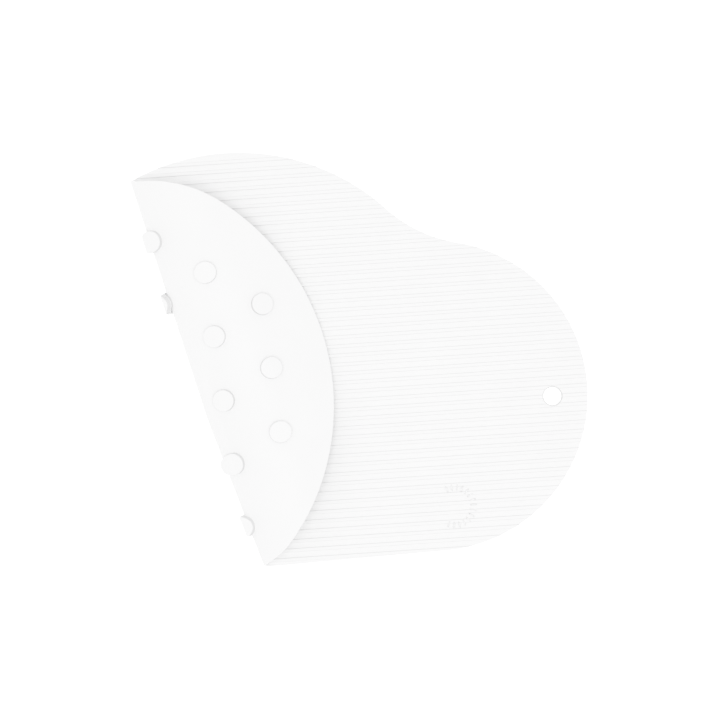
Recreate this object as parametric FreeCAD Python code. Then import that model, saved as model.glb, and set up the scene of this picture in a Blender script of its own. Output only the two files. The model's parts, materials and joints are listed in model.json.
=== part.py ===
import FreeCAD, Part
import math
import os
from FreeCAD import Placement, Rotation, Vector

# A flexible bench scraper: one kidney-shaped moulded sheet, ribbed on its working face and
# carrying round grip feet on its smooth back. It is stored with its blade end folded back over
# the ribs. The sheet is modelled flat, cut across the fold into a board, narrow curl strips and
# a flap, and then rolled up about the hinge lines between them.
#
# Flat frame, in millimetres: the hang hole is at x = y = 0, the ribs run along X, the feet
# stand on z = 0 and the ribs face +Z. The finished part is moved so that the middle of its
# bounding box in plan is at x = y = 0.

# Sheet
SHEET_THICKNESS = 1.0
RIB_HEIGHT = 0.5
RIB_WIDTH = 1.1
RIB_PITCH = 3.0
HANG_HOLE_RADIUS = 3.1

# Grip feet, in rows across the ribs with every second row moved by half a pitch
FOOT_RADIUS = 3.5
FOOT_HEIGHT = 1.6
FOOT_EDGE_ROUND = 0.3
FOOT_PITCH = 18.75
FOOT_START_X = -10.7
FOOT_START_Y = 1.5
FOOT_EDGE_MARGIN = 11.5
# A foot that a cut leaves with less volume than this, in cubic millimetres, loses that sliver
FOOT_SLIVER = 2.0

# Outline: circles that touch one another, and one straight side
HANDLE_CENTRE = Vector(-39.4, 2.7, 0)
HANDLE_RADIUS = 51.1
SHOULDER_CENTRE = Vector(-102.4, 14.6, 0)
SHOULDER_RADIUS = 72.4
BLADE_CENTRE = Vector(-89.9, 23.5, 0)
BLADE_RADIUS = 76.4
NECK_RADIUS = 46.5
UPPER_CORNER_RADIUS = 46.9
LOWER_CORNER_RADIUS = 26.8
LOWEST_Y = -50.1

# Fold: its axis leans by FOLD_LEAN from Y, and it starts FOLD_DISTANCE from the hang hole. The
# sheet turns tightly first and then gently, so that the flap comes down on the ribs tip first.
FOLD_LEAN = 15.4
FOLD_DISTANCE = 104.4
TIGHT_RADIUS = 3.5
TIGHT_ANGLE = 149.0
TIGHT_HINGES = 8
GENTLE_RADIUS = 27.5
GENTLE_ANGLE = 48.0
GENTLE_HINGES = 4

# Gap left on each side of a cut, so that neighbours never touch
CUT_GAP = 0.03
# Longer than the sheet, for cutting tools
REACH = 400.0

HINGE_COUNT = TIGHT_HINGES + GENTLE_HINGES
STRIP_COUNT = HINGE_COUNT - 1
TIGHT_TURN = TIGHT_ANGLE / TIGHT_HINGES
GENTLE_TURN = GENTLE_ANGLE / GENTLE_HINGES
TIGHT_WIDTH = TIGHT_RADIUS * math.radians(TIGHT_TURN)
GENTLE_WIDTH = GENTLE_RADIUS * math.radians(GENTLE_TURN)
SMOOTH_FACE_Z = FOOT_HEIGHT
RIB_ROOT_Z = FOOT_HEIGHT + SHEET_THICKNESS
RIB_TOP_Z = RIB_ROOT_Z + RIB_HEIGHT

LEAN = math.radians(FOLD_LEAN)
# Unit vectors in plan: across the fold towards the hang hole, and along the fold
ACROSS = Vector(math.cos(LEAN), math.sin(LEAN), 0)
ALONG = Vector(-math.sin(LEAN), math.cos(LEAN), 0)
UP = Vector(0, 0, 1)


def circle_meeting(centre_a, radius_a, centre_b, radius_b, side):
    """The point where two circles cross, on the left (side 1) or right (side -1) of a to b."""
    step = centre_b - centre_a
    gap = step.Length
    direction = step.normalize()
    along = (gap ** 2 + radius_a ** 2 - radius_b ** 2) / (2 * gap)
    off = math.sqrt(radius_a ** 2 - along ** 2)
    left = Vector(-direction.y, direction.x, 0)
    return centre_a + direction * along + left * (side * off)


def point_on(centre, radius, towards):
    """The point on a circle in the direction of another point."""
    return centre + (towards - centre).normalize() * radius


def arc(centre, radius, start, end, bulge):
    """The arc of a circle from start to end, on the side of its chord that bulge points to."""
    middle = centre + bulge.normalize() * radius
    return Part.Arc(start, middle, end).toShape()


def outline_wire():
    """The closed outline of the flat sheet at z = 0."""
    neck = circle_meeting(HANDLE_CENTRE, HANDLE_RADIUS + NECK_RADIUS,
                          SHOULDER_CENTRE, SHOULDER_RADIUS + NECK_RADIUS, -1)
    upper = circle_meeting(SHOULDER_CENTRE, SHOULDER_RADIUS - UPPER_CORNER_RADIUS,
                           BLADE_CENTRE, BLADE_RADIUS - UPPER_CORNER_RADIUS, 1)
    lower_y = LOWEST_Y + LOWER_CORNER_RADIUS
    lower_reach = BLADE_RADIUS - LOWER_CORNER_RADIUS
    lower_x = BLADE_CENTRE.x - math.sqrt(lower_reach ** 2 - (lower_y - BLADE_CENTRE.y) ** 2)
    lower = Vector(lower_x, lower_y, 0)

    # The straight side touches the lower corner and the handle
    base = HANDLE_CENTRE - lower
    turn = math.asin((HANDLE_RADIUS - LOWER_CORNER_RADIUS) / base.Length)
    down = math.atan2(base.y, base.x) - math.pi / 2 - turn
    side_normal = Vector(math.cos(down), math.sin(down), 0)
    side_start = lower + side_normal * LOWER_CORNER_RADIUS
    side_end = HANDLE_CENTRE + side_normal * HANDLE_RADIUS

    handle_end = point_on(HANDLE_CENTRE, HANDLE_RADIUS, neck)
    neck_end = point_on(SHOULDER_CENTRE, SHOULDER_RADIUS, neck)
    shoulder_end = point_on(SHOULDER_CENTRE, SHOULDER_RADIUS, upper)
    blade_start = point_on(BLADE_CENTRE, BLADE_RADIUS, upper)
    blade_end = point_on(BLADE_CENTRE, BLADE_RADIUS, lower)

    edges = [
        arc(HANDLE_CENTRE, HANDLE_RADIUS, side_end, handle_end, Vector(1, 0, 0)),
        arc(neck, NECK_RADIUS, handle_end, neck_end, (handle_end + neck_end) / 2 - neck),
        arc(SHOULDER_CENTRE, SHOULDER_RADIUS, neck_end, shoulder_end, Vector(0, 1, 0)),
        arc(upper, UPPER_CORNER_RADIUS, shoulder_end, blade_start,
            (shoulder_end + blade_start) / 2 - upper),
        arc(BLADE_CENTRE, BLADE_RADIUS, blade_start, blade_end, Vector(-1, 0, 0)),
        arc(lower, LOWER_CORNER_RADIUS, blade_end, side_start,
            (blade_end + side_start) / 2 - lower),
        Part.makeLine(side_start, side_end),
    ]
    return Part.Wire(Part.__sortEdges__(edges))


def ribbed_sheet(outline):
    """The flat sheet with its ribs and its hang hole, as one solid."""
    face = Part.Face(outline)
    base = face.extrude(UP * SHEET_THICKNESS)
    base.translate(UP * SMOOTH_FACE_Z)
    rib_layer = face.extrude(UP * RIB_HEIGHT)
    rib_layer.translate(UP * RIB_ROOT_Z)

    low_y = outline.BoundBox.YMin
    high_y = outline.BoundBox.YMax
    first = math.ceil((low_y + RIB_WIDTH) / RIB_PITCH)
    last = math.floor((high_y - RIB_WIDTH) / RIB_PITCH)
    bars = []
    for number in range(first, last + 1):
        corner = Vector(outline.BoundBox.XMin - 1, number * RIB_PITCH - RIB_WIDTH / 2, RIB_ROOT_Z)
        bars.append(Part.makeBox(outline.BoundBox.XLength + 2, RIB_WIDTH, RIB_HEIGHT, corner))
    ribs = rib_layer.common(Part.makeCompound(bars))
    hole = Part.makeCylinder(HANG_HOLE_RADIUS, 4 * RIB_TOP_Z, UP * -RIB_TOP_Z)
    return base.fuse(ribs.Solids).removeSplitter().cut(hole)


def foot_places(outline):
    """Centres of the feet: a staggered grid, kept clear of the outline and the hang hole."""
    face = Part.Face(outline)
    rows = math.ceil(outline.BoundBox.YLength / FOOT_PITCH)
    columns = math.ceil(outline.BoundBox.XLength / FOOT_PITCH)
    places = []
    for row in range(rows, -rows - 1, -1):
        shift = FOOT_PITCH / 2 * (row % 2)
        for column in range(-columns - 1, 2):
            place = Vector(FOOT_START_X + column * FOOT_PITCH + shift,
                           FOOT_START_Y + row * FOOT_PITCH, 0)
            if not face.isInside(place, 0.001, True):
                continue
            to_edge = outline.distToShape(Part.Vertex(place))[0]
            to_hole = place.Length - HANG_HOLE_RADIUS
            if min(to_edge, to_hole) >= FOOT_EDGE_MARGIN:
                places.append(place)
    return places


def foot_at(place):
    """A round foot with a rounded rim, from the floor up to the smooth face."""
    foot = Part.makeCylinder(FOOT_RADIUS, FOOT_HEIGHT, place)
    rim = [edge for edge in foot.Edges if abs(edge.CenterOfMass.z) < 0.001
           and len(edge.Vertexes) == 1 and edge.BoundBox.ZLength < 0.001]
    return foot.makeFillet(FOOT_EDGE_ROUND, rim)


def hinge_distance(number):
    """Place of hinge line 1, 2, ... across the flat sheet, measured from the hang hole."""
    tight = min(number - 0.5, TIGHT_HINGES)
    gentle = max(number - 0.5 - TIGHT_HINGES, 0)
    return -(FOLD_DISTANCE + tight * TIGHT_WIDTH + gentle * GENTLE_WIDTH)


def hinge_turn(number):
    """How far hinge line 1, 2, ... is turned in the folded part, in degrees."""
    return TIGHT_TURN if number <= TIGHT_HINGES else GENTLE_TURN


def band(low, high, turn_low, turn_high):
    """A cutter for the sheet between two lines across the fold, from the floor to the ribs.

    Above the smooth face each side leans inwards by half the turn of its hinge, so that the
    neighbours close up without meeting when the sheet is rolled. A side with no turn is plain.
    """
    rise = RIB_TOP_Z + 1 - SMOOTH_FACE_Z
    low += CUT_GAP
    high -= CUT_GAP
    section = [
        (low, -1),
        (high, -1),
        (high, SMOOTH_FACE_Z),
        (high - rise * math.tan(math.radians(turn_high / 2)), RIB_TOP_Z + 1),
        (low + rise * math.tan(math.radians(turn_low / 2)), RIB_TOP_Z + 1),
        (low, SMOOTH_FACE_Z),
    ]
    corners = [ACROSS * t - ALONG * (REACH / 2) + UP * z for t, z in section]
    return Part.Face(Part.makePolygon(corners + corners[:1])).extrude(ALONG * REACH)


def rolled(number):
    """Placement that carries the flat strip behind hinge line `number` to its rolled place."""
    placement = Placement()
    for hinge in range(1, number + 1):
        centre = ACROSS * hinge_distance(hinge) + UP * SMOOTH_FACE_Z
        turn = Rotation(ALONG, hinge_turn(hinge))
        placement = placement * Placement(Vector(), turn, centre)
    return placement


def build():
    """Every node's solid by name, in the flat frame but rolled up."""
    outline = outline_wire()
    sheet = ribbed_sheet(outline)
    feet = [foot_at(place) for place in foot_places(outline)]
    nodes = {}

    board_band = band(hinge_distance(1), REACH / 2, hinge_turn(1), 0)
    flap_band = band(-REACH / 2, hinge_distance(HINGE_COUNT), 0, hinge_turn(HINGE_COUNT))
    nodes["board"] = sheet.common(board_band)
    nodes["flap"] = sheet.common(flap_band)
    for number in range(1, STRIP_COUNT + 1):
        cutter = band(hinge_distance(number + 1), hinge_distance(number),
                      hinge_turn(number + 1), hinge_turn(number))
        strip = sheet.common(cutter)
        slices = [foot.common(cutter) for foot in feet]
        pieces = [piece for piece in slices if piece.Volume > FOOT_SLIVER]
        if pieces:
            strip = strip.fuse(pieces)
        nodes["curl_strip_%d" % number] = strip

    for name, cutter in (("board_foot", board_band), ("flap_foot", flap_band)):
        count = 0
        for foot in feet:
            piece = foot.common(cutter)
            if piece.Volume > FOOT_SLIVER:
                count += 1
                nodes["%s_%02d" % (name, count)] = piece

    for name, shape in nodes.items():
        if name.startswith("curl_strip"):
            shape.Placement = rolled(int(name.split("_")[-1]))
        elif name.startswith("flap"):
            shape.Placement = rolled(HINGE_COUNT)
    return nodes


def plan_middle(nodes):
    """The middle of the folded part's bounding box in plan."""
    box = Part.makeCompound(list(nodes.values())).BoundBox
    return Vector(box.Center.x, box.Center.y, 0)


def main():
    nodes = build()
    middle = plan_middle(nodes)
    os.makedirs("parts", exist_ok=True)
    for name, shape in nodes.items():
        solid = shape.Solids[0].copy()
        solid.translate(middle * -1)
        solid.exportStep("parts/%s.step" % name)
        if len(shape.Solids) != 1 or not solid.isValid():
            print("check", name, len(shape.Solids), solid.isValid())
    print("nodes", len(nodes), "middle", tuple(middle))


if __name__ == "__main__":
    main()
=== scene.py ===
import bpy
import bmesh
import json
import math
import numpy as np
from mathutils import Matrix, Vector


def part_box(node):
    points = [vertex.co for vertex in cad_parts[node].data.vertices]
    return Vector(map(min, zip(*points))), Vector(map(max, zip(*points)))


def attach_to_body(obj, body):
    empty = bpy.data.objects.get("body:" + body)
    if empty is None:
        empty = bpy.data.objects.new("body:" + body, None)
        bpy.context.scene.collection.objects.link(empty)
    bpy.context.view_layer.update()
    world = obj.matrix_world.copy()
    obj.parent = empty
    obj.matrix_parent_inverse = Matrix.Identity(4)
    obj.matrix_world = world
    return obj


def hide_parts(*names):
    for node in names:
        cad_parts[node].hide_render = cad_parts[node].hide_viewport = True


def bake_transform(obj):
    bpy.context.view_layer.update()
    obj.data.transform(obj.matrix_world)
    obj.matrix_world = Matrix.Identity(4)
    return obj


# A flexible bench scraper: one moulded sheet of white silicone with fine ribs on one face and
# round grip feet on the other, its blade end folded back over the ribs.
#
# Everything is made flat, in millimetres, with the hang hole at x = y = 0, the ribs along X,
# the feet standing on z = 0 and the ribs up. It is then folded, sorted into the board, the flap
# and one piece across each hinge between them, and moved into the frame of the CAD model.

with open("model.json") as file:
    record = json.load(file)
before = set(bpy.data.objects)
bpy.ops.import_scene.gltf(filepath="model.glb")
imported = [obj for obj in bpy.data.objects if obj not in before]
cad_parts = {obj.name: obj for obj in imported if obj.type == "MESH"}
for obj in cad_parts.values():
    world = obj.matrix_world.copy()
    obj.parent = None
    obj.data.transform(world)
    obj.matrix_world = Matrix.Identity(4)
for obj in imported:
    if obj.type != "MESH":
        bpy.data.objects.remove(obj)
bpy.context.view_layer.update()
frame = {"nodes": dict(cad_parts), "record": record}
MM = 0.001

# Sheet
SHEET_THICKNESS = 1.0
RIB_HEIGHT = 0.5
RIB_WIDTH = 1.1
RIB_PITCH = 3.0
# Width of the sloping side of a rib, and where across it the mesh has lines
RIB_WALL = 0.18
RIB_STEPS = (0.0, 0.22, 0.42, 0.58, 0.78, 1.0)
# A face of the ribbed side that rises more than this is part of the side of a rib
RIB_SIDE_RISE = 0.02
EDGE_ROUND = 0.2
EDGE_STEPS = 4
HANG_HOLE_RADIUS = 3.1
# How much larger the hang hole's radius is at the ribbed face than at the smooth face
HANG_HOLE_DRAFT = 0.3
HANG_HOLE_SIDES = 48

# Grip feet
FOOT_RADIUS = 3.5
FOOT_HEIGHT = 1.6
FOOT_EDGE_ROUND = 0.3
FOOT_EDGE_STEPS = 5
FOOT_ROOT_FILLET = 0.06
FOOT_ROOT_STEPS = 3
# How much larger a foot's radius is at its root than at its sole
FOOT_DRAFT = 0.1
FOOT_SIDES = 64
FOOT_PITCH = 18.75
FOOT_START_X = -10.7
FOOT_START_Y = 1.5
FOOT_EDGE_MARGIN = 11.5
# Rows and columns of the staggered grid, more of them than the sheet has room for
FOOT_ROWS = range(8, -9, -1)
FOOT_COLUMNS = range(-11, 2)
# A face that reaches this far below the smooth face and is taller than this is part of the
# side wall of a foot
WALL_HEIGHT = 0.4

# How far the hidden ends of the feet and of the mark's strokes reach into the sheet
SINK = 0.12

# Mould mark: a plain arc of short strokes, open towards the fold
MARK_CENTRE = np.array((-34.5, -34.0))
MARK_RADIUS = 6.2
MARK_HALF_ARC = math.radians(112)
MARK_STROKES = 15
STROKE_HALF_LENGTH = 1.1
STROKE_HALF_WIDTH = 0.24
# How far a stroke stands above the ribs, and the height of its rounded top
STROKE_RISE = 0.25
STROKE_DOME = 0.2
STROKE_STEPS = 5
STROKE_SIDES = 24

# Outline: circles that touch one another, and one straight side
HANDLE_CENTRE = np.array((-39.4, 2.7))
HANDLE_RADIUS = 51.1
SHOULDER_CENTRE = np.array((-102.4, 14.6))
SHOULDER_RADIUS = 72.4
BLADE_CENTRE = np.array((-89.9, 23.5))
BLADE_RADIUS = 76.4
NECK_RADIUS = 46.5
UPPER_CORNER_RADIUS = 46.9
LOWER_CORNER_RADIUS = 26.8
LOWEST_Y = -50.1
# About how far apart the outline's points are
OUTLINE_STEP = 1.6

# Fold: a tight turn and then a gentle one, about an axis that leans by FOLD_LEAN from Y. It
# starts FOLD_DISTANCE from the hang hole.
FOLD_LEAN = math.radians(15.4)
FOLD_DISTANCE = 104.4
TIGHT_RADIUS = 3.5
TIGHT_ANGLE = math.radians(149.0)
TIGHT_HINGES = 8
GENTLE_RADIUS = 27.5
GENTLE_ANGLE = math.radians(48.0)
GENTLE_HINGES = 4
# How far the turn stands out halfway along the fold, and where along the fold that is
FOLD_BULGE = 1.8
FOLD_MIDDLE = 45.0
FOLD_HALF_LENGTH = 67.0
# Facets of the smooth bend between two neighbouring piece borders
TIGHT_FACETS = 5
GENTLE_FACETS = 6

# Mesh making
# Edges shorter than this are closed up after the cuts
SHORTEST_EDGE = 0.003
# A point nearer to a cutting plane than this counts as lying on it
ON_PLANE = 1e-5
# Points whose levels differ by less than this count as level
LEVEL_TOLERANCE = 1e-4
# Faces that differ in direction by less than this, in radians, count as flush
FLUSH_ANGLE = 0.01
# How far a point is moved to see how the fold carries its surroundings
NORMAL_STEP = 1e-4

# Silicone: a cloud is a wide, faint change of shade, and the grain is in roughness and bump
SILICONE_IOR = 1.41
SILICONE_SPECULAR = 0.35
CLOUD_SCALE = 70
CLOUD_DETAIL = 3
CLOUD_SHADE = 0.985
GRAIN_SCALE = 2600
GRAIN_DETAIL = 2
GRAIN_DEPTH = 0.04 * MM
ROUGHNESS_SPREAD = 0.05
# Most values of a noise lie between these two
NOISE_LOW = 0.3
NOISE_HIGH = 0.7

# Studio, in metres and watts
FLOOR_REACH = 2.0
FLOOR_DROP = 0.0001
FLOOR_GREY = 0.3
FLOOR_GLOW = 1.0
SKY_STRENGTH = 0.67
KEY_PLACE = (0.0, -0.11, 1.2)
KEY_SIZE = 1.0
KEY_POWER = 5.9
VIEW_GAMMA = 2.2

# Camera: it looks straight down, turned by CAMERA_ROLL, and its view is VIEW_WIDTH metres wide
# at the rib tops. Seen in the view, its middle is AIM_LEFT and AIM_UP millimetres to the left
# of and above the hang hole.
CAMERA_HEIGHT = 0.6
CAMERA_ROLL = math.radians(3.8)
SENSOR_WIDTH = 36
VIEW_WIDTH = 0.23688
AIM_LEFT = 63.4
AIM_UP = 11.88

SMOOTH_FACE_Z = FOOT_HEIGHT
RIB_ROOT_Z = SMOOTH_FACE_Z + SHEET_THICKNESS
SHEET_DEPTH = SHEET_THICKNESS + RIB_HEIGHT
RIB_TOP_Z = SMOOTH_FACE_Z + SHEET_DEPTH
FOOT_ROOT_RADIUS = FOOT_RADIUS + FOOT_DRAFT
TIGHT_LENGTH = TIGHT_RADIUS * TIGHT_ANGLE
GENTLE_LENGTH = GENTLE_RADIUS * GENTLE_ANGLE
# Unit vectors in plan: across the fold towards the hang hole, and along the fold
ACROSS = np.array((math.cos(FOLD_LEAN), math.sin(FOLD_LEAN)))
ALONG = np.array((-math.sin(FOLD_LEAN), math.cos(FOLD_LEAN)))

# Pieces of the sheet by number: the board, one piece across each hinge, and the flap
HINGE_COUNT = TIGHT_HINGES + GENTLE_HINGES
BOARD = 0
FLAP = HINGE_COUNT + 1

# Tones of the faces, which are also the places of their materials on a piece
PLAIN = 0
# Walls of the feet and of the hang hole, darkened with painted shade
WALL = 1
# Sides of the ribs, darkened with painted shade
RIB_SIDE = 2

# Where the hang hole lies in the frame of the CAD model
mounts = {mount["name"]: mount for mount in frame["record"]["mounts"]}
HANG_HOLE = np.array(mounts["hang_hole"]["pos_m"][:2]) / MM


# ---------------------------------------------------------------- the outline

def unit(vector):
    return vector / np.hypot(*vector)


def bearing(centre, point):
    """The angle, from +X, of a point seen from a centre."""
    return math.atan2(point[1] - centre[1], point[0] - centre[0])


def circle_meeting(centre_a, radius_a, centre_b, radius_b, side):
    """The point where two circles cross, on the left (side 1) or right (side -1) of a to b."""
    gap = np.hypot(*(centre_b - centre_a))
    direction = unit(centre_b - centre_a)
    along = (gap ** 2 + radius_a ** 2 - radius_b ** 2) / (2 * gap)
    off = math.sqrt(radius_a ** 2 - along ** 2)
    left = np.array((-direction[1], direction[0]))
    return centre_a + direction * along + left * (side * off)


def outline_arcs():
    """The outline's arcs in order, anticlockwise: (centre, radius, first and last bearing).

    The neck bends the other way, so its radius is negative and its bearings run backwards. The
    straight side is the gap between the last arc and the first.
    """
    neck = circle_meeting(HANDLE_CENTRE, HANDLE_RADIUS + NECK_RADIUS,
                          SHOULDER_CENTRE, SHOULDER_RADIUS + NECK_RADIUS, -1)
    upper = circle_meeting(SHOULDER_CENTRE, SHOULDER_RADIUS - UPPER_CORNER_RADIUS,
                           BLADE_CENTRE, BLADE_RADIUS - UPPER_CORNER_RADIUS, 1)
    lower_y = LOWEST_Y + LOWER_CORNER_RADIUS
    reach = BLADE_RADIUS - LOWER_CORNER_RADIUS
    lower_x = BLADE_CENTRE[0] - math.sqrt(reach ** 2 - (lower_y - BLADE_CENTRE[1]) ** 2)
    lower = np.array((lower_x, lower_y))

    base = HANDLE_CENTRE - lower
    turn = math.asin((HANDLE_RADIUS - LOWER_CORNER_RADIUS) / np.hypot(*base))
    down = bearing(lower, HANDLE_CENTRE) - math.pi / 2 - turn

    to_neck = bearing(HANDLE_CENTRE, neck)
    from_neck = bearing(SHOULDER_CENTRE, neck)
    to_upper = bearing(SHOULDER_CENTRE, upper)
    from_upper = bearing(BLADE_CENTRE, upper)
    to_lower = bearing(BLADE_CENTRE, lower)
    full = 2 * math.pi
    return [
        (HANDLE_CENTRE, HANDLE_RADIUS, down, to_neck),
        (neck, -NECK_RADIUS, to_neck + math.pi, from_neck + math.pi),
        (SHOULDER_CENTRE, SHOULDER_RADIUS, from_neck, to_upper),
        (upper, UPPER_CORNER_RADIUS, to_upper, from_upper % full),
        (BLADE_CENTRE, BLADE_RADIUS, from_upper % full, to_lower % full),
        (lower, LOWER_CORNER_RADIUS, to_lower % full, down % full),
    ]


def outline(inset):
    """Points of the outline moved inwards by inset, and the outward direction at each.

    Every inset gives the same number of points, so that two of them can be joined up.
    """
    arcs = outline_arcs()
    points = []
    outward = []
    for centre, radius, first, last in arcs:
        count = max(2, round(abs(radius * (last - first)) / OUTLINE_STEP))
        sign = 1 if radius > 0 else -1
        for angle in np.linspace(first, last, count, endpoint=False):
            away = np.array((math.cos(angle), math.sin(angle)))
            points.append(centre + away * (abs(radius) - sign * inset))
            outward.append(away * sign)
    # The straight side starts where the last arc ends
    centre, radius, first, last = arcs[-1]
    away = np.array((math.cos(last), math.sin(last)))
    start = centre + away * (radius - inset)
    end = HANDLE_CENTRE + away * (HANDLE_RADIUS - inset)
    count = round(np.hypot(*(end - start)) / OUTLINE_STEP)
    for step in range(count):
        points.append(start + (end - start) * (step / count))
        outward.append(away)
    return np.array(points), np.array(outward)


def rib_numbers():
    """The numbers of the first and last rib that the outline has room for."""
    edge_y = outline(0)[0][:, 1]
    first = math.ceil((edge_y.min() + RIB_WIDTH) / RIB_PITCH)
    last = math.floor((edge_y.max() - RIB_WIDTH) / RIB_PITCH)
    return first, last


RIB_FIRST, RIB_LAST = rib_numbers()


# ---------------------------------------------------------------- the fold

def fold_profile(distance):
    """Where the smooth face goes at a distance past the start of the fold.

    Gives the place across the fold, the rise and the angle turned.
    """
    tight = np.clip(distance, 0, TIGHT_LENGTH) / TIGHT_RADIUS
    gentle = np.clip(distance - TIGHT_LENGTH, 0, GENTLE_LENGTH) / GENTLE_RADIUS
    angle = tight + gentle
    past = np.maximum(distance - TIGHT_LENGTH - GENTLE_LENGTH, 0)
    before = np.maximum(-distance, 0)
    gentle_across = np.where(gentle > 0, np.sin(angle) - math.sin(TIGHT_ANGLE), 0)
    gentle_rise = np.where(gentle > 0, math.cos(TIGHT_ANGLE) - np.cos(angle), 0)
    across = (before - TIGHT_RADIUS * np.sin(tight) - GENTLE_RADIUS * gentle_across
              - past * np.cos(angle))
    rise = (TIGHT_RADIUS * (1 - np.cos(tight)) + GENTLE_RADIUS * gentle_rise
            + past * np.sin(angle))
    return across, rise, angle


def past_fold(points):
    """Distance past the start of the fold, of flat points."""
    return -FOLD_DISTANCE - points[:, :2] @ ACROSS


def fold_up(points):
    """Flat points carried to their folded places, still in millimetres.

    The turn is fullest halfway along the fold, where it stands out by FOLD_BULGE.
    """
    distance = past_fold(points)
    across, rise, angle = fold_profile(distance)
    side = points[:, :2] @ ALONG
    share = np.clip(distance / (math.pi * TIGHT_RADIUS), 0, 1)
    middle = 1 - ((side - FOLD_MIDDLE) / FOLD_HALF_LENGTH) ** 2
    bulge = FOLD_BULGE * np.sin(math.pi * share) ** 2 * np.clip(middle, 0, 1)
    height = points[:, 2] - SMOOTH_FACE_Z - bulge
    position = across - FOLD_DISTANCE + height * np.sin(angle)
    plan = position[:, None] * ACROSS + side[:, None] * ALONG
    level = SMOOTH_FACE_Z + rise + height * np.cos(angle)
    return np.column_stack((plan, level))


def folded(points, normals):
    """Flat points and their normals, carried to their folded places.

    Each part of a normal is carried by the cross product of the other two axes, as the fold
    carries them, so that the normal stays square to the surface.
    """
    base = fold_up(points)
    along_x, along_y, along_z = (
        fold_up(points + step) - base for step in np.eye(3) * NORMAL_STEP)
    new = (normals[:, :1] * np.cross(along_y, along_z)
           + normals[:, 1:2] * np.cross(along_z, along_x)
           + normals[:, 2:] * np.cross(along_x, along_y))
    return base, new / np.linalg.norm(new, axis=1)[:, None]


def bend_distances(tight_parts, gentle_parts):
    """Distances past the start of the fold that divide each turn into equal parts."""
    tight = [TIGHT_LENGTH * k / tight_parts for k in range(tight_parts + 1)]
    gentle = [TIGHT_LENGTH + GENTLE_LENGTH * k / gentle_parts
              for k in range(1, gentle_parts + 1)]
    return tight + gentle


def piece_borders():
    """Distances past the start of the fold at which one piece ends and the next begins."""
    return bend_distances(TIGHT_HINGES, GENTLE_HINGES)


def fold_lines():
    """Distances past the start of the fold of every straight line along the bend."""
    return bend_distances(TIGHT_HINGES * TIGHT_FACETS, GENTLE_HINGES * GENTLE_FACETS)


# ---------------------------------------------------------------- flat solids

def new_solid():
    """An empty bmesh whose points carry a normal and how far the ribs lift them."""
    solid = bmesh.new()
    layers = [solid.verts.layers.float.new(name) for name in ("nx", "ny", "nz", "lift")]
    return solid, layers


def rays(count):
    """Directions all round a circle, anticlockwise from +X."""
    turns = np.linspace(0, 2 * math.pi, count, endpoint=False)
    return np.column_stack((np.cos(turns), np.sin(turns)))


def add_ring(solid, layers, points, outward, section, lift=0.0):
    """A ring of points, each with its own outward direction.

    The section gives their level and the outward and upward parts of their normals.
    """
    level, out, up = section
    ring = []
    for point, away in zip(points, outward):
        vertex = solid.verts.new((point[0], point[1], level))
        for layer, value in zip(layers, (out * away[0], out * away[1], up, lift)):
            vertex[layer] = value
        ring.append(vertex)
    return ring


def join_rings(solid, lower, upper):
    """Faces between two rings of the same number of points."""
    count = len(lower)
    for k in range(count):
        after = (k + 1) % count
        solid.faces.new((lower[k], lower[after], upper[after], upper[k]))


def edge_profile():
    """The rounded edge from the smooth face up to the ribbed face.

    Gives (inset, level, outward part and upward part of the normal, lift).
    """
    rows = []
    for step in range(EDGE_STEPS + 1):
        angle = math.pi / 2 * step / EDGE_STEPS
        inset = EDGE_ROUND * (1 - math.sin(angle))
        level = SMOOTH_FACE_Z + EDGE_ROUND * (1 - math.cos(angle))
        rows.append((inset, level, math.sin(angle), -math.cos(angle), 0.0))
    for step in range(EDGE_STEPS, -1, -1):
        angle = math.pi / 2 * step / EDGE_STEPS
        inset = EDGE_ROUND * (1 - math.sin(angle))
        level = RIB_ROOT_Z - EDGE_ROUND * (1 - math.cos(angle))
        rows.append((inset, level, math.sin(angle), math.cos(angle), 1.0))
    return rows


def rib_profile(offset):
    """Height and slope of the ribbed face at a distance across the ribs.

    The side of a rib is a smooth step, level at its root and at its top.
    """
    number = np.clip(np.round(offset / RIB_PITCH), RIB_FIRST, RIB_LAST)
    away = offset - number * RIB_PITCH
    share = np.clip((RIB_WIDTH / 2 + RIB_WALL / 2 - np.abs(away)) / RIB_WALL, 0, 1)
    height = RIB_HEIGHT * share ** 3 * (share * (6 * share - 15) + 10)
    slope = RIB_HEIGHT * 30 * share ** 2 * (share - 1) ** 2 / RIB_WALL
    return height, -slope * np.sign(away)


def cut(solid, point, direction):
    """Adds an edge, marked as a seam, wherever a plane crosses the solid's faces."""
    everything = solid.verts[:] + solid.edges[:] + solid.faces[:]
    made = bmesh.ops.bisect_plane(solid, geom=everything, dist=ON_PLANE,
                                  plane_co=point, plane_no=direction)
    for item in made["geom_cut"]:
        if isinstance(item, bmesh.types.BMEdge):
            item.seam = True


def fill_level(solid, cuts):
    """Fills the open rims with level faces, divided only along X at the given Y values."""
    rim = [edge for edge in solid.edges if edge.is_boundary]
    bmesh.ops.triangle_fill(solid, use_beauty=True, edges=rim)
    level = rim[0].verts[0].co.z
    for y in cuts:
        cut(solid, (0, y, 0), (0, 1, 0))
    inner = [edge for edge in solid.edges
             if all(all(abs(vertex.co.z - level) < LEVEL_TOLERANCE for vertex in face.verts)
                    for face in edge.link_faces)]
    bmesh.ops.dissolve_limit(solid, angle_limit=FLUSH_ANGLE, verts=[], edges=inner,
                             delimit={"SEAM"})


def cut_fold_lines(solid, low, high):
    """Cuts the solid at the fold lines between two distances past the start of the fold."""
    for distance in fold_lines():
        if low < distance < high:
            place = ACROSS * (-FOLD_DISTANCE - distance)
            cut(solid, (place[0], place[1], 0), (ACROSS[0], ACROSS[1], 0))
    bmesh.ops.dissolve_degenerate(solid, dist=SHORTEST_EDGE, edges=solid.edges[:])


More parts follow.
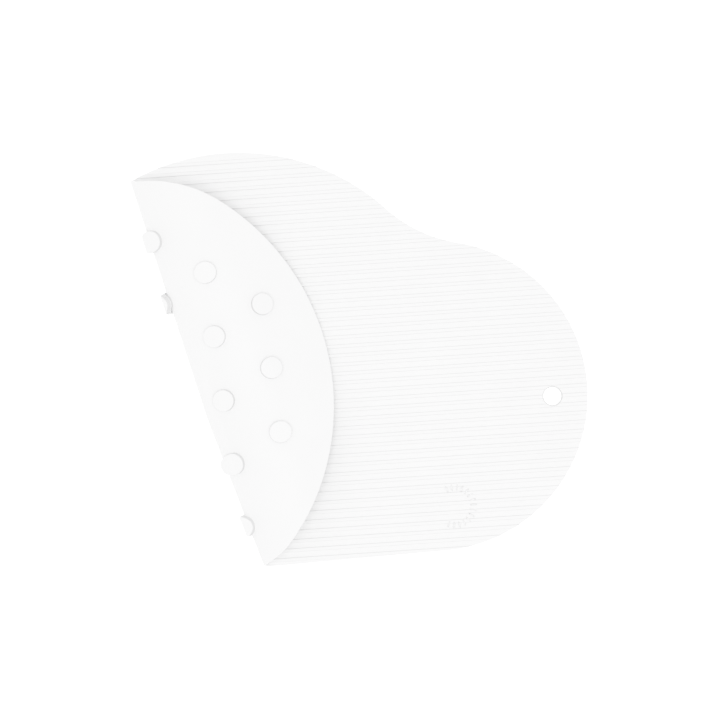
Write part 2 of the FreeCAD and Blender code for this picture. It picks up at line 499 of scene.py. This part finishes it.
def cut_ribs(solid):
    """Cuts the solid at every line along the sides of the ribs."""
    for number in range(RIB_FIRST, RIB_LAST + 1):
        for side in (-1, 1):
            for share in RIB_STEPS:
                away = RIB_WIDTH / 2 + RIB_WALL * (0.5 - share)
                cut(solid, (0, number * RIB_PITCH + side * away, 0), (0, 1, 0))


def flat_sheet():
    """The ribbed sheet with its hang hole, lying flat and cut at every fold line."""
    solid, layers = new_solid()
    outer = []
    inner = []
    # The hole's rings run clockwise
    ray = rays(HANG_HOLE_SIDES) * (1, -1)
    for inset, level, out, up, lift in edge_profile():
        points, outward = outline(inset)
        outer.append(add_ring(solid, layers, points, outward, (level, out, up), lift))
        hole = ray * (HANG_HOLE_RADIUS + inset + HANG_HOLE_DRAFT * (lift - 0.5))
        inner.append(add_ring(solid, layers, hole, ray, (level, -out, up), lift))
    for rings in (outer, inner):
        for lower, upper in zip(rings, rings[1:]):
            join_rings(solid, lower, upper)

    # The rims of the smooth face are closed for now, so that only the ribbed face is filled
    solid.faces.new(outer[0])
    solid.faces.new(inner[0])
    fill_level(solid, [(number + 0.5) * RIB_PITCH
                       for number in range(RIB_FIRST - 1, RIB_LAST + 1)])
    caps = [face for face in solid.faces
            if all(vertex.co.z < SMOOTH_FACE_Z + LEVEL_TOLERANCE for vertex in face.verts)]
    bmesh.ops.delete(solid, geom=caps, context="FACES")
    cut_ribs(solid)

    fill_level(solid, [0])
    cut_fold_lines(solid, -math.inf, math.inf)
    bmesh.ops.recalc_face_normals(solid, faces=solid.faces[:])
    return solid, layers


def foot_profile():
    """The foot's section from its hidden top to its flat sole: (radius, level, out, up)."""
    widest = FOOT_ROOT_RADIUS + FOOT_ROOT_FILLET
    rows = [(widest, SMOOTH_FACE_Z + SINK, 1.0, 0.0)]
    for step in range(FOOT_ROOT_STEPS + 1):
        angle = math.pi / 2 * step / FOOT_ROOT_STEPS
        radius = FOOT_ROOT_RADIUS + FOOT_ROOT_FILLET * (1 - math.sin(angle))
        level = SMOOTH_FACE_Z - FOOT_ROOT_FILLET * (1 - math.cos(angle))
        rows.append((radius, level, math.sin(angle), -math.cos(angle)))
    for step in range(FOOT_EDGE_STEPS + 1):
        angle = math.pi / 2 * step / FOOT_EDGE_STEPS
        radius = FOOT_RADIUS - FOOT_EDGE_ROUND * (1 - math.cos(angle))
        level = FOOT_EDGE_ROUND * (1 - math.sin(angle))
        rows.append((radius, level, math.cos(angle), -math.sin(angle)))
    return rows


def flat_foot(place):
    """One grip foot under the flat sheet, cut at every fold line that crosses it."""
    solid, layers = new_solid()
    ray = rays(FOOT_SIDES)
    rings = []
    for radius, level, out, up in foot_profile():
        rings.append(add_ring(solid, layers, place + ray * radius, ray, (level, out, up)))
    for lower, upper in zip(rings[1:], rings):
        join_rings(solid, lower, upper)
    solid.faces.new(rings[0])
    solid.faces.new(list(reversed(rings[-1])))
    centre = past_fold(np.array([[place[0], place[1], 0]]))[0]
    reach = FOOT_ROOT_RADIUS + FOOT_ROOT_FILLET
    cut_fold_lines(solid, centre - reach, centre + reach)
    return solid, layers


def inside(edge, place):
    """Whether a place in plan lies inside a closed ring of points, by its winding number."""
    following = np.roll(edge, -1, axis=0)
    side = ((following[:, 0] - edge[:, 0]) * (place[1] - edge[:, 1])
            - (following[:, 1] - edge[:, 1]) * (place[0] - edge[:, 0]))
    crossing = (edge[:, 1] <= place[1]) != (following[:, 1] <= place[1])
    upward = following[:, 1] > edge[:, 1]
    to_left = np.sum(crossing & upward & (side > 0))
    to_right = np.sum(crossing & ~upward & (side < 0))
    return to_left != to_right


def foot_places():
    """Centres of the feet: a staggered grid, kept clear of the outline and the hang hole."""
    edge = outline(0)[0]
    places = []
    for row in FOOT_ROWS:
        shift = FOOT_PITCH / 2 * (row % 2)
        for column in FOOT_COLUMNS:
            place = np.array((FOOT_START_X + column * FOOT_PITCH + shift,
                              FOOT_START_Y + row * FOOT_PITCH))
            to_edge = np.min(np.hypot(*(edge - place).T))
            to_hole = np.hypot(*place) - HANG_HOLE_RADIUS
            if inside(edge, place) and min(to_edge, to_hole) >= FOOT_EDGE_MARGIN:
                places.append(place)
    return places


def flat_stroke(place, along):
    """A short round-topped stroke standing on the ribbed face of the flat board.

    Gives its points, normals, faces and tones, as split does.
    """
    beside = np.array((-along[1], along[0]))
    circle = rays(STROKE_SIDES)
    ray = np.outer(circle[:, 0], along) + np.outer(circle[:, 1], beside)
    rim = (np.outer(circle[:, 0], along) * STROKE_HALF_LENGTH
           + np.outer(circle[:, 1], beside) * STROKE_HALF_WIDTH)
    top = RIB_TOP_Z + STROKE_RISE
    rows = [(1.0, RIB_ROOT_Z - SINK, 0.0)]
    for step in range(STROKE_STEPS):
        angle = math.pi / 2 * step / STROKE_STEPS
        rows.append((math.cos(angle), top - STROKE_DOME * (1 - math.sin(angle)), angle))
    points = []
    normals = []
    for share, level, angle in rows:
        points.extend((*(place + point * share), level) for point in rim)
        normals.extend((*(away * math.cos(angle)), math.sin(angle)) for away in ray)
    points.append((*place, top))
    normals.append((0.0, 0.0, 1.0))

    faces = [list(range(STROKE_SIDES))]
    for row in range(len(rows) - 1):
        lower = row * STROKE_SIDES
        upper = lower + STROKE_SIDES
        for k in range(STROKE_SIDES):
            after = (k + 1) % STROKE_SIDES
            faces.append([lower + k, lower + after, upper + after, upper + k])
    last = (len(rows) - 1) * STROKE_SIDES
    tip = len(points) - 1
    faces.extend([last + k, last + (k + 1) % STROKE_SIDES, tip] for k in range(STROKE_SIDES))
    return np.array(points), np.array(normals), faces, [PLAIN] * len(faces)


# ---------------------------------------------------------------- pieces

def face_tone(plan, level, lift, height):
    """The tone of a face, from its corners.

    They are given flat, as places in plan, levels without the ribs, whether the ribs lift them
    and by how much.
    """
    # Painted shade: the hang hole's wall and the side walls of the feet get a darker grey
    beside_hole = np.hypot(*plan.mean(axis=0)) < HANG_HOLE_RADIUS + EDGE_ROUND
    on_foot = level.min() < SMOOTH_FACE_Z - WALL_HEIGHT
    if beside_hole or (on_foot and np.ptp(level) > WALL_HEIGHT):
        return WALL
    # Painted shade: the sides of the ribs get a darker grey, deepening the line beside each rib
    if lift.min() > 0.5 and np.ptp(height) > RIB_SIDE_RISE:
        return RIB_SIDE
    return PLAIN


def split(solid, layers):
    """Folds a flat solid and sorts its faces by piece.

    Gives {piece number: (points, normals, faces, tones)}, with one tone for each face.
    """
    solid.verts.index_update()
    flat = np.array([vertex.co for vertex in solid.verts])
    data = np.array([[vertex[layer] for layer in layers] for vertex in solid.verts])
    normals = data[:, :3].copy()
    lift = data[:, 3]
    level = flat[:, 2].copy()
    height, slope = rib_profile(flat[:, 1])
    flat[:, 2] += lift * height
    normals[:, 1] -= lift * slope * np.abs(normals[:, 2])
    normals /= np.linalg.norm(normals, axis=1)[:, None]
    distance = past_fold(flat)
    points, normals = folded(flat, normals)
    borders = np.array(piece_borders())
    parts = {}
    for face in solid.faces:
        corners = [vertex.index for vertex in face.verts]
        middle = (distance[corners].min() + distance[corners].max()) / 2
        number = int(np.searchsorted(borders, middle))
        tone = face_tone(flat[corners, :2], level[corners], lift[corners], height[corners])
        parts.setdefault(number, []).append((corners, tone))
    solid.free()
    result = {}
    for number, toned_faces in parts.items():
        used = sorted({corner for corners, tone in toned_faces for corner in corners})
        place = {old: new for new, old in enumerate(used)}
        faces = [[place[corner] for corner in corners] for corners, tone in toned_faces]
        tones = [tone for corners, tone in toned_faces]
        result[number] = (points[used], normals[used], faces, tones)
    return result


def closed_mesh(name, parts, material):
    """One mesh object of several parts, each closed where it was cut from its neighbours."""
    points = []
    normals = []
    faces = []
    tones = []
    for part_points, part_normals, part_faces, part_tones in parts:
        start = len(points)
        points.extend(part_points)
        normals.extend(part_normals)
        faces.extend([start + corner for corner in face] for face in part_faces)
        tones.extend(part_tones)
    places = (np.array(points) + (*HANG_HOLE, 0)) * MM
    mesh = bpy.data.meshes.new(name)
    mesh.from_pydata([tuple(place) for place in places], [], faces)
    # The second and third materials are darker greys, painted shade on walls and rib sides
    for shade in (material, WALL_PAINTED_SHADE_MATERIAL, RIB_SIDE_PAINTED_SHADE_MATERIAL)[:max(tones) + 1]:
        mesh.materials.append(shade)
    mesh.polygons.foreach_set("material_index", tones)
    solid = bmesh.new()
    solid.from_mesh(mesh)
    rim = [edge for edge in solid.edges if edge.is_boundary]
    if rim:
        bmesh.ops.holes_fill(solid, edges=rim, sides=0)
    bmesh.ops.recalc_face_normals(solid, faces=solid.faces[:])
    solid.to_mesh(mesh)
    solid.free()
    mesh.polygons.foreach_set("use_smooth", [True] * len(mesh.polygons))
    mesh.normals_split_custom_set_from_vertices([tuple(normal) for normal in normals])
    piece = bpy.data.objects.new(name, mesh)
    bpy.context.scene.collection.objects.link(piece)
    return piece


def attach(piece, number):
    """Lets a piece ride on the board or flap; a piece across a hinge only has its place baked
    into its mesh.
    """
    if number == BOARD:
        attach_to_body(piece, "board")
        return
    if number == FLAP:
        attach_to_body(piece, "flap")
        return
    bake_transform(piece)


# ---------------------------------------------------------------- materials

def silicone(name, grey, roughness, grain):
    """Satin moulded silicone: very fine matt grain, faint clouding and a soft sheen."""
    material = bpy.data.materials.new(name)
    material.use_nodes = True
    nodes = material.node_tree.nodes
    links = material.node_tree.links
    shader = nodes["Principled BSDF"]
    shader.inputs["IOR"].default_value = SILICONE_IOR
    shader.inputs["Specular IOR Level"].default_value = SILICONE_SPECULAR
    place = nodes.new("ShaderNodeTexCoord")

    def noise(scale, detail):
        node = nodes.new("ShaderNodeTexNoise")
        node.inputs["Scale"].default_value = scale
        node.inputs["Detail"].default_value = detail
        links.new(place.outputs["Object"], node.inputs["Vector"])
        return node.outputs["Fac"]

    def between(value, low, high):
        node = nodes.new("ShaderNodeMapRange")
        node.inputs["From Min"].default_value = NOISE_LOW
        node.inputs["From Max"].default_value = NOISE_HIGH
        node.inputs["To Min"].default_value = low
        node.inputs["To Max"].default_value = high
        links.new(value, node.inputs["Value"])
        return node.outputs["Result"]

    cloud = noise(CLOUD_SCALE, CLOUD_DETAIL)
    shaded = CLOUD_SHADE * grey
    mix = nodes.new("ShaderNodeMix")
    mix.data_type = "RGBA"
    mix.inputs["A"].default_value = (shaded, shaded, shaded, 1)
    mix.inputs["B"].default_value = (grey, grey, grey, 1)
    links.new(between(cloud, 0, 1), mix.inputs["Factor"])
    links.new(mix.outputs["Result"], shader.inputs["Base Color"])
    speck = noise(GRAIN_SCALE, GRAIN_DETAIL)
    links.new(between(speck, roughness - ROUGHNESS_SPREAD, roughness + ROUGHNESS_SPREAD),
              shader.inputs["Roughness"])
    bump = nodes.new("ShaderNodeBump")
    bump.inputs["Strength"].default_value = grain
    bump.inputs["Distance"].default_value = GRAIN_DEPTH
    links.new(speck, bump.inputs["Height"])
    links.new(bump.outputs["Normal"], shader.inputs["Normal"])
    return material


SHEET_MATERIAL = silicone("silicone_sheet", grey=0.89, roughness=0.52, grain=0.35)
FOOT_MATERIAL = silicone("silicone_feet", grey=0.88, roughness=0.42, grain=0.2)
# Painted shade: the walls of the feet and of the hang hole, and the sides of the ribs, get
# darker greys where shade falls on them
WALL_PAINTED_SHADE_MATERIAL = silicone("silicone_walls_painted_shade", grey=0.66, roughness=0.6, grain=0.35)
# Painted shade on the sides of the ribs
RIB_SIDE_PAINTED_SHADE_MATERIAL = silicone("silicone_rib_sides_painted_shade", grey=0.82, roughness=0.6, grain=0.35)


# ---------------------------------------------------------------- the sheet

# Feet that lie across the bend are cut with it and belong to its pieces
skin = {number: [part] for number, part in split(*flat_sheet()).items()}
feet = []
for place in foot_places():
    for number, part in split(*flat_foot(place)).items():
        if BOARD < number < FLAP:
            skin[number].append(part)
        else:
            feet.append((number, part))

for number in sorted(skin):
    name = {BOARD: "skin_board", FLAP: "skin_flap"}.get(number, "skin_bend_%02d" % number)
    piece = closed_mesh(name, skin[number], SHEET_MATERIAL)
    attach(piece, number)

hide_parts("board")
for number in range(1, HINGE_COUNT):
    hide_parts("curl_strip_%d" % number)
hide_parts("flap")

# ---------------------------------------------------------------- the mould mark

# It stands on the ribs where a moulded mark would be
strokes = []
for turn in np.linspace(-MARK_HALF_ARC, MARK_HALF_ARC, MARK_STROKES):
    outwards = np.array((math.cos(turn), math.sin(turn)))
    strokes.append(flat_stroke(MARK_CENTRE + outwards * MARK_RADIUS, outwards))
mark = closed_mesh("mould_mark", strokes, SHEET_MATERIAL)
attach(mark, BOARD)

# ---------------------------------------------------------------- the feet

foot_pieces = []
for count, (number, part) in enumerate(feet, 1):
    name = "foot_%s_%02d" % ("board" if number == BOARD else "flap", count)
    piece = closed_mesh(name, [part], FOOT_MATERIAL)
    attach(piece, number)
    foot_pieces.append((number, part[0].mean(axis=0) + (*HANG_HOLE, 0), piece))

# Each CAD foot is replaced by the foot at its place, or by the piece of the bend beside its
# body where the foot was cut
for node in frame["nodes"]:
    if "_foot_" not in node:
        continue
    low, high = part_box(node)
    centre = (np.array(low) + np.array(high)) / 2 / MM
    body = BOARD if node.startswith("board") else FLAP
    gap, nearest = min((float(np.linalg.norm(middle - centre)), k)
                       for k, (number, middle, piece) in enumerate(foot_pieces)
                       if number == body)
    if gap < FOOT_RADIUS:
        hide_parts(node)
    else:
        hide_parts(node)

# ---------------------------------------------------------------- floor and light

floor_mesh = bpy.data.meshes.new("floor")
floor_corners = [(x * FLOOR_REACH, y * FLOOR_REACH, 0)
                 for x, y in ((-1, -1), (1, -1), (1, 1), (-1, 1))]
floor_mesh.from_pydata(floor_corners, [], [(0, 1, 2, 3)])
floor = bpy.data.objects.new("floor", floor_mesh)
floor.location.z = -FLOOR_DROP
bpy.context.scene.collection.objects.link(floor)
paper = bpy.data.materials.new("light_table")
paper.use_nodes = True
paper_shader = paper.node_tree.nodes["Principled BSDF"]
paper_shader.inputs["Base Color"].default_value = (FLOOR_GREY, FLOOR_GREY, FLOOR_GREY, 1)
paper_shader.inputs["Roughness"].default_value = 1.0
paper_shader.inputs["Emission Color"].default_value = (1, 1, 1, 1)
paper_shader.inputs["Emission Strength"].default_value = FLOOR_GLOW
floor_mesh.materials.append(paper)

world = bpy.data.worlds.new("studio")
bpy.context.scene.world = world
world.use_nodes = True
sky = world.node_tree.nodes["Background"]
sky.inputs["Color"].default_value = (1, 1, 1, 1)
sky.inputs["Strength"].default_value = SKY_STRENGTH

key_data = bpy.data.lights.new("soft_key", "AREA")
key_data.shape = "DISK"
key_data.size = KEY_SIZE
key_data.energy = KEY_POWER
key = bpy.data.objects.new("soft_key", key_data)
bpy.context.scene.collection.objects.link(key)
key.location = KEY_PLACE
key.rotation_euler = (-key.location).to_track_quat("-Z", "Y").to_euler()

# ---------------------------------------------------------------- camera

view_right = np.array((math.cos(CAMERA_ROLL), -math.sin(CAMERA_ROLL)))
view_down = np.array((-math.sin(CAMERA_ROLL), -math.cos(CAMERA_ROLL)))
view_middle = (HANG_HOLE - view_right * AIM_LEFT - view_down * AIM_UP) * MM
camera_data = bpy.data.cameras.new("camera")
camera_data.sensor_width = SENSOR_WIDTH
camera_data.lens = SENSOR_WIDTH * (CAMERA_HEIGHT - RIB_TOP_Z * MM) / VIEW_WIDTH
camera = bpy.data.objects.new("camera", camera_data)
bpy.context.scene.collection.objects.link(camera)
camera.location = (view_middle[0], view_middle[1], CAMERA_HEIGHT)
camera.rotation_euler = (0, 0, -CAMERA_ROLL)
bpy.context.scene.camera = camera
bpy.context.scene.view_settings.view_transform = "Standard"
bpy.context.scene.view_settings.gamma = VIEW_GAMMA
